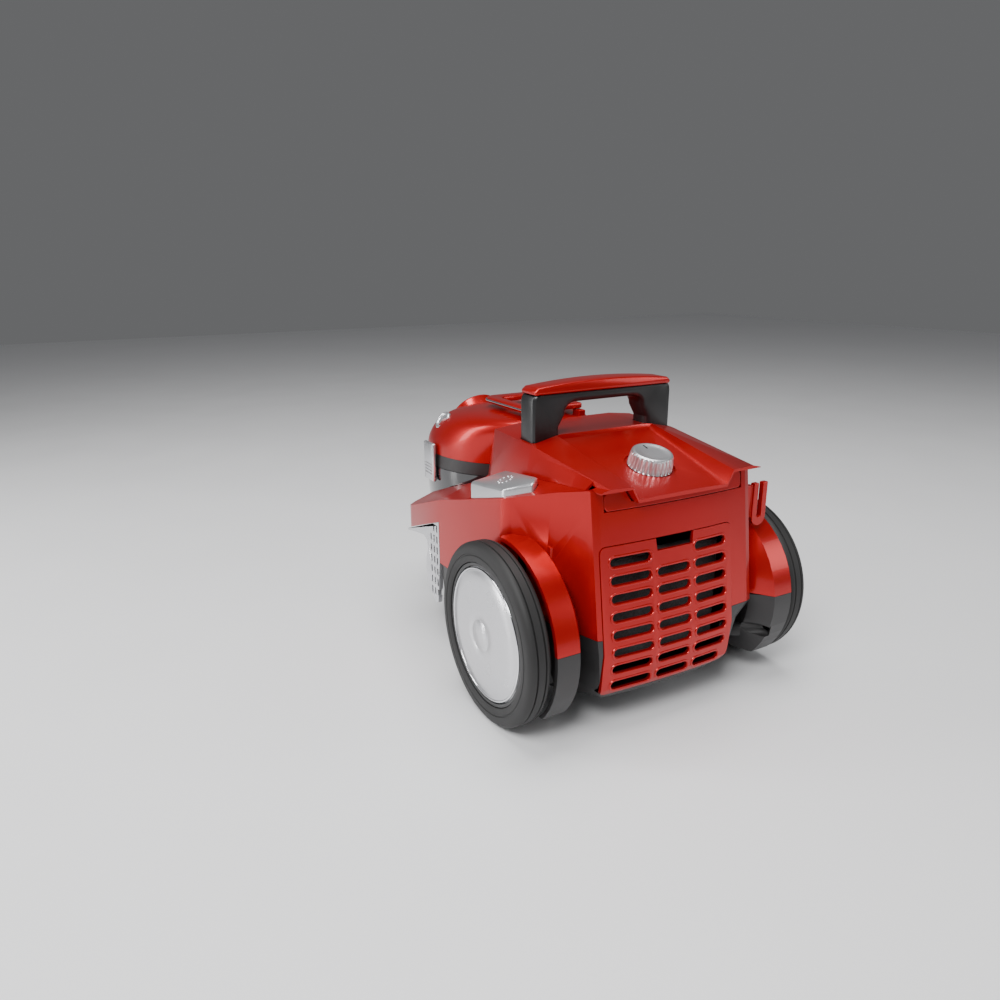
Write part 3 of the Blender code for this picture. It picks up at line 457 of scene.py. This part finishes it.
def make_knob():
    """A fluted knob: shallow scallops round the skirt, a bevelled shoulder and a dished top."""
    joint = next(j for j in RECORD["behaviour"]["joints"] if j["name"] == "knob_turn")
    axis = Vector(joint["axis"]).normalized()
    start = Vector(joint["pos_m"]) - axis * 0.0008
    turn = axis.to_track_quat("Z", "Y").to_matrix()
    rows = (
        # height, radius, depth of the flutes
        (0.0, 18.9, 0.0), (0.5, 19.5, 0.2), (1.4, 19.4, 0.9), (6.0, 19.0, 1.0), (11.0, 18.3, 0.9),
        (12.4, 17.9, 0.4), (13.3, 17.2, 0.0), (13.9, 16.0, 0.0), (14.0, 15.0, 0.0), (13.5, 13.8, 0.0),
        (13.3, 8.0, 0.0), (13.3, 0.0, 0.0),
    )
    flutes = 30
    steps = flutes * 10
    bm = bmesh.new()
    rings = []
    for height, radius, depth in rows:
        if radius == 0:
            rings.append([bm.verts.new(start + turn @ Vector((0, 0, height)) * MM)])
            continue
        ring = []
        for i in range(steps):
            angle = 2 * pi * i / steps
            scallop = depth * (0.5 + 0.5 * cos(flutes * angle)) ** 0.7
            r = radius - scallop
            ring.append(bm.verts.new(start + turn @ Vector((r * cos(angle), r * sin(angle), height)) * MM))
        rings.append(ring)
    bm.faces.new(rings[0])
    for row, following in zip(rings, rings[1:]):
        for i in range(steps):
            j = (i + 1) % steps
            if len(following) == 1:
                bm.faces.new((row[i], row[j], following[0]))
            else:
                bm.faces.new((row[i], row[j], following[j], following[i]))
    piece("power_knob_finish", bm, "power_knob")
    low = start + axis * 13.3 * MM
    pointer = [low + turn @ Vector((0, r, 0.15)) * MM for r in (7.5, 9.5, 11.5, 13.0)]
    bm = bmesh.new()
    wire(bm, pointer, 0.7, 8, closed=False, flatten=0.6, out=axis)
    piece("knob_pointer", bm, "power_knob", "black_plastic", replaces=False)


DOTS = 10
DOT_RING_R = 6.0


def make_pedals():
    """Softly rounded pedals, each with a small ring of raised dots."""
    for node in ("power_pedal", "rewind_pedal"):
        refined(node, 1.2, 3)
        tree = touching(node)
        centre = middle(node)
        bm = bmesh.new()
        for i in range(DOTS):
            angle = 2 * pi * i / DOTS
            x = centre.x + DOT_RING_R * MM * cos(angle)
            y = centre.y + DOT_RING_R * MM * sin(angle)
            hit = on_surface(tree, (x, y, 0.3), (0, 0, -1))
            if hit is not None:
                dome = [(1.1, -0.4), (1.1, 0.0), (0.9, 0.3), (0.5, 0.5), (0.0, 0.55)]
                lathe(bm, [(0.0, -0.4)] + dome, hit, (0, -0.17, 1), 12)
        piece(f"{node}_dots", bm, node, replaces=False)


# ---- wheels --------------------------------------------------------------------------------------

TYRE_WIDTH = 21.0
HUB_FACE = 15.35                     # from the tyre's inner side to the hubcap's back


def tyre_profile():
    """Radius and width of the tyre: round shoulders and two shallow grooves in the tread."""
    tread = [(62.0, 1.4), (63.5, 0.5), (67.5, 0.2), (68.0, 0.7), (68.8, 0.7), (69.3, 0.1)]
    tread += [(73.0, 0.2), (75.6, 0.9), (77.4, 2.2), (78.5, 3.8), (78.9, 5.2)]
    tread += [(78.9, 6.0), (77.8, 6.4), (77.8, 7.2), (79.0, 7.6)]
    other = [(radius, TYRE_WIDTH - width) for radius, width in reversed(tread)]
    return tread + other


def make_wheels():
    for word, side in (("left", 1), ("right", -1)):
        low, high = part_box(f"tyre_{word}")
        inner_x = low[0] if side > 0 else high[0]
        centre = Vector((inner_x, AXLE_Y, AXLE_Z))
        out = (side, 0, 0)
        bm = bmesh.new()
        lathe(bm, tyre_profile(), centre, out, 144)
        piece(f"tyre_{word}_finish", bm, f"tyre_{word}")
        refined(f"rim_{word}", 0.4, 2)
        dome = [(0, 7.6), (13.2, 7.35), (13.5, 7.0), (14.1, 7.0), (14.4, 7.3), (24, 6.9), (34, 6.3)]
        dome += [(44, 5.5), (54, 4.3), (54.8, 3.7), (55.3, 3.7), (55.6, 3.0), (58.0, 2.0), (58.0, 0), (0, 0)]
        cap = [(radius, HUB_FACE + height) for radius, height in dome]
        bm = bmesh.new()
        lathe(bm, cap, centre, out, 144)
        piece(f"hubcap_{word}_finish", bm, f"hubcap_{word}", smooth=50)
        bm = bmesh.new()
        ring = arc((56.6, HUB_FACE + 3.2), 0.9, 0, 324, 9)
        lathe(bm, ring, centre, out, 144)
        piece(f"hubcap_{word}_ring", bm, f"hubcap_{word}", replaces=False, look=CHROME, smooth=60)


# ---- dust container ------------------------------------------------------------------------------

def smooth_levels(levels, steps):
    """Reads more rings from a few levels, along smooth curves through them."""
    made = []
    last = len(levels) - 1
    for i in range(last):
        a, b = levels[max(i - 1, 0)], levels[i]
        c, d = levels[i + 1], levels[min(i + 2, last)]
        for k in range(steps):
            t = k / steps
            made.append([0.5 * (2 * q + (r - p) * t + (2 * p - 5 * q + 4 * r - s) * t * t
                                + (3 * q - p - 3 * r + s) * t ** 3) for p, q, r, s in zip(a, b, c, d)])
    made.append(list(levels[last]))
    return made


def oval_ring(level, inset=0.0, count=120):
    """A rounded plan from a level's height, half width, front and rear."""
    z, half_width, front, rear = level
    centre = (front + rear) / 2
    reach = (rear - front) / 2 - inset
    ring = []
    for i in range(count):
        angle = 2 * pi * i / count
        ring.append(place((half_width - inset) * cos(angle), centre + reach * sin(angle), z))
    return ring


def skin(rings):
    """A closed solid through rings of points with the same count."""
    bm = bmesh.new()
    rows = [[bm.verts.new(point) for point in ring] for ring in rings]
    count = len(rows[0])
    for row, following in zip(rows, rows[1:]):
        for i in range(count):
            j = (i + 1) % count
            bm.faces.new((row[i], row[j], following[j], following[i]))
    bm.faces.new(rows[0])
    bm.faces.new(rows[-1])
    bmesh.ops.recalc_face_normals(bm, faces=bm.faces)
    return bm


def helper(name, bm):
    """A shape used only to cut another; it is removed once the cuts are applied."""
    bmesh.ops.recalc_face_normals(bm, faces=bm.faces)
    mesh = bpy.data.meshes.new(name)
    bm.to_mesh(mesh)
    bm.free()
    obj = bpy.data.objects.new(name, mesh)
    bpy.context.scene.collection.objects.link(obj)
    return obj


def carve(bm, steps):
    """Applies a list of (operation, shape) to bm and returns the result."""
    obj = helper("carved", bm)
    tools = []
    for operation, shape in steps:
        tool = helper(f"tool {len(tools)}", shape)
        modifier = obj.modifiers.new("cut", "BOOLEAN")
        modifier.object = tool
        modifier.operation = operation
        modifier.solver = "EXACT"
        tools.append(tool)
    graph = bpy.context.evaluated_depsgraph_get()
    graph.update()
    made = bmesh.new()
    made.from_mesh(obj.evaluated_get(graph).to_mesh())
    for gone in [obj] + tools:
        bpy.data.objects.remove(gone, do_unlink=True)
    return made


def prism(outline, axis, low, high):
    """Extrudes an outline along axis: y takes (x, z) points, z takes (x, y)."""
    spots = {"y": lambda a, b, c: place(a, c, b), "z": lambda a, b, c: place(a, b, c)}[axis]
    return skin([[spots(a, b, low) for a, b in outline], [spots(a, b, high) for a, b in outline]])


CUP_LEVELS = (
    # height, half width, front, rear
    (38.5, 50.0, -285.0, -168.0),
    (46.0, 60.0, -296.0, -157.0),
    (70.0, 72.0, -309.0, -146.0),
    (110.0, 81.0, -318.0, -139.0),
    (150.0, 85.0, -321.0, -137.2),
    (166.0, 85.0, -320.0, -137.2),
)
LID_LEVELS = (
    # height, half width, front, rear
    (180.35, 84.5, -319.0, -133.0),
    (192.0, 84.0, -317.0, -127.0),
    (206.0, 80.0, -306.0, -119.0),
    (218.0, 72.0, -284.0, -113.0),
    (226.0, 58.0, -252.0, -114.0),
    (230.0, 36.0, -215.0, -124.0),
)


def make_cup():
    """The smoked cup, with its U-shaped front opening."""
    outer = [oval_ring(level) for level in smooth_levels(CUP_LEVELS, 5)]
    inner_levels = smooth_levels(CUP_LEVELS, 5)
    inner_levels[0][0] += 3
    inner = [oval_ring(level, 2.5) for level in inner_levels]
    inner.append([point + Vector((0, 0, 0.02)) for point in inner[-1]])
    mouth = [(-54, 175), (-50, 140)] + arc((0, 132), 46, 190, 350, 40) + [(50, 140), (54, 175)]
    port = bmesh.new()
    lathe(port, [(0, 0), (24, 0), (24, 20), (0, 20)], place(0, -150, 128), (0, 1, 0), 64)
    bm = carve(skin(outer), [("DIFFERENCE", skin(inner)), ("DIFFERENCE", prism(mouth, "y", -340, -262)),
                             ("DIFFERENCE", port)])
    cup = piece("container_shell_finish", bm, "container_shell", smooth=28)
    round_edges(cup, 0.5, 2, 40)


CYCLONE_Y = -236


def make_cyclone():
    """The ringed drum: stepped rings, and ribs on the filter above the skirt."""
    profile = [(0, 44), (30, 44), (40, 84), (41, 84.6), (61, 85), (63.2, 86.5), (64, 90), (63.2, 93.5)]
    profile += [(61.5, 95), (57.6, 95.4), (57, 96.5), (58.2, 98), (57, 99.5), (57, 104), (54.3, 106)]
    for ring in range(9):
        z = 109 + ring * 5.6
        profile += [(54.4, z), (55.6, z + 0.8), (55.6, z + 2.4), (54.4, z + 3.2)]
    profile += [(54.8, 160), (58, 164), (53, 164), (50, 108), (36, 86), (26, 48), (0, 48)]
    bm = bmesh.new()
    lathe(bm, profile, place(0, CYCLONE_Y, 0), (0, 0, 1), 112)
    for i in range(28):
        angle = 2 * pi * i / 28
        foot = place(55.4 * cos(angle), CYCLONE_Y + 55.4 * sin(angle), 107)
        head = place(56.6 * cos(angle), CYCLONE_Y + 56.6 * sin(angle), 160)
        out = Vector((cos(angle), sin(angle), 0))
        wire(bm, [foot, (foot + head) / 2, head], 1.1, 8, closed=False, out=out)
    piece("cyclone_finish", bm, "cyclone")


INLET = (0, -287, 199)
INLET_TILT = radians(38)


def make_lid():
    """The domed lid with its flared round inlet."""
    axis = Vector((0, -cos(INLET_TILT), sin(INLET_TILT)))
    mouth = place(*INLET)
    levels = smooth_levels(LID_LEVELS, 5)
    rings = [oval_ring(level) for level in levels]
    under = [oval_ring([level[0] - 3.2] + level[1:], 3.0) for level in levels]
    under[0] = [point - Vector((0, 0, 0.008)) for point in under[0]]
    flare = bmesh.new()
    trumpet = [(0, -26), (25, -26), (25, -4), (25.6, 0), (26.8, 5), (28.2, 9.5), (29, 12), (28.6, 13.3)]
    lathe(flare, trumpet + [(27.6, 13.7), (0, 13.7)], mouth, axis, 96)
    over_frame = [(-60, -380), (60, -380), (60, -150), (-60, -150)]
    flare = carve(flare, [("INTERSECT", prism(over_frame, "z", LID_LEVELS[0][0], 260))])
    wall = bmesh.new()
    lathe(wall, [(0, -60), (21.5, -60), (21.5, 40), (0, 40)], mouth, axis, 64)
    hollow = carve(skin(under), [("DIFFERENCE", wall)])
    bore = bmesh.new()
    throat = [(0, -70), (19.5, -70), (19.5, 7), (20.3, 9.2), (22.2, 11.6), (25.6, 14.2), (26, 45), (0, 45)]
    lathe(bore, throat, mouth, axis, 96)
    bm = carve(skin(rings), [("UNION", flare), ("DIFFERENCE", hollow), ("DIFFERENCE", bore)])
    lid = piece("container_lid_finish", bm, "container_lid", smooth=30)
    round_edges(lid, 0.8, 3, 40)
    tree = touching("container_lid")
    ears = bmesh.new()
    for side in (1, -1):
        x = side * 30
        hit = on_surface(tree, place(x, -124, 300), (0, 0, -1))
        top = hit.z if hit is not None else 0.234
        outline = [(x - 4, -130), (x + 4, -130), (x + 4, -118), (x - 4, -118)]
        block = prism(outline, "z", 222, top / MM)
        mesh = bpy.data.meshes.new("ear")
        block.to_mesh(mesh)
        block.free()
        ears.from_mesh(mesh)
        bpy.data.meshes.remove(mesh)
    blocks = piece("lid_ears", ears, "container_lid", replaces=False)
    round_edges(blocks, 1.0, 3)
    buttons = bmesh.new()
    dish = [(0, -3), (10.5, -3), (10.5, 1.4), (9.8, 2.4), (8.6, 2.7), (7.6, 2.3), (6.6, 1.2), (0, 0.8)]
    for side in (1, -1):
        hit = on_surface(tree, place(side * 140, -238, 213), (-side, 0, 0))
        if hit is not None:
            lathe(buttons, dish, hit, (side * 0.78, 0, 0.62), 64)
    piece("lid_buttons", buttons, "container_lid", "silver_plastic", replaces=False)


def make_container_trim():
    refined("lid_frame", 0.9, 3)
    refined("inlet_collar", 0.4, 2)
    refined("container_handle", 0.8, 3)
    for word, side in (("left", 1), ("right", -1)):
        refined(f"lid_latch_{word}", 0.6, 3)
        low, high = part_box(f"lid_latch_{word}")
        x = high[0] + 0.0003 if side > 0 else low[0] - 0.0003
        bm = bmesh.new()
        for z in (0.158, 0.1615, 0.165, 0.1685):
            points = [Vector((x, y, z)) for y in (low[1] + 0.004, (low[1] + high[1]) / 2, high[1] - 0.004)]
            wire(bm, points, 0.7, 8, closed=False, flatten=0.7, out=Vector((side, 0, 0)))
        piece(f"lid_latch_{word}_grip", bm, f"lid_latch_{word}", replaces=False)
    low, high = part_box("container_handle")
    mid = (low[2] + high[2]) / 2
    outline = [(-34.2, -128), (-34.2, -196)] + arc((-20, -200), 14.3, 180, 270, 10)
    outline += arc((20, -200), 14.3, 270, 360, 10) + [(34.2, -196), (34.2, -128)]
    points = [Vector((x * MM, y * MM + AXLE_Y, mid)) for x, y in outline]
    bm = bmesh.new()
    wire(bm, points, 1.1, 10, closed=False, flatten=1.2, out=Vector((0, 0, 1)))
    piece("container_handle_edge", bm, "container_handle", "silver_plastic", replaces=False, look=CHROME)


def finish_the_rest():
    """Every node that keeps its own shape gets its slot's material."""
    for name, obj in NODES.items():
        obj.data.materials.clear()
        obj.data.materials.append(LOOKS[SLOT_OF[name]])


make_camera()
make_studio()
finish_the_rest()
make_body()
make_cover_flanks()
make_grille()
make_handle_details()
make_knob()
make_pedals()
make_wheels()
make_cup()
make_cyclone()
make_lid()
make_container_trim()
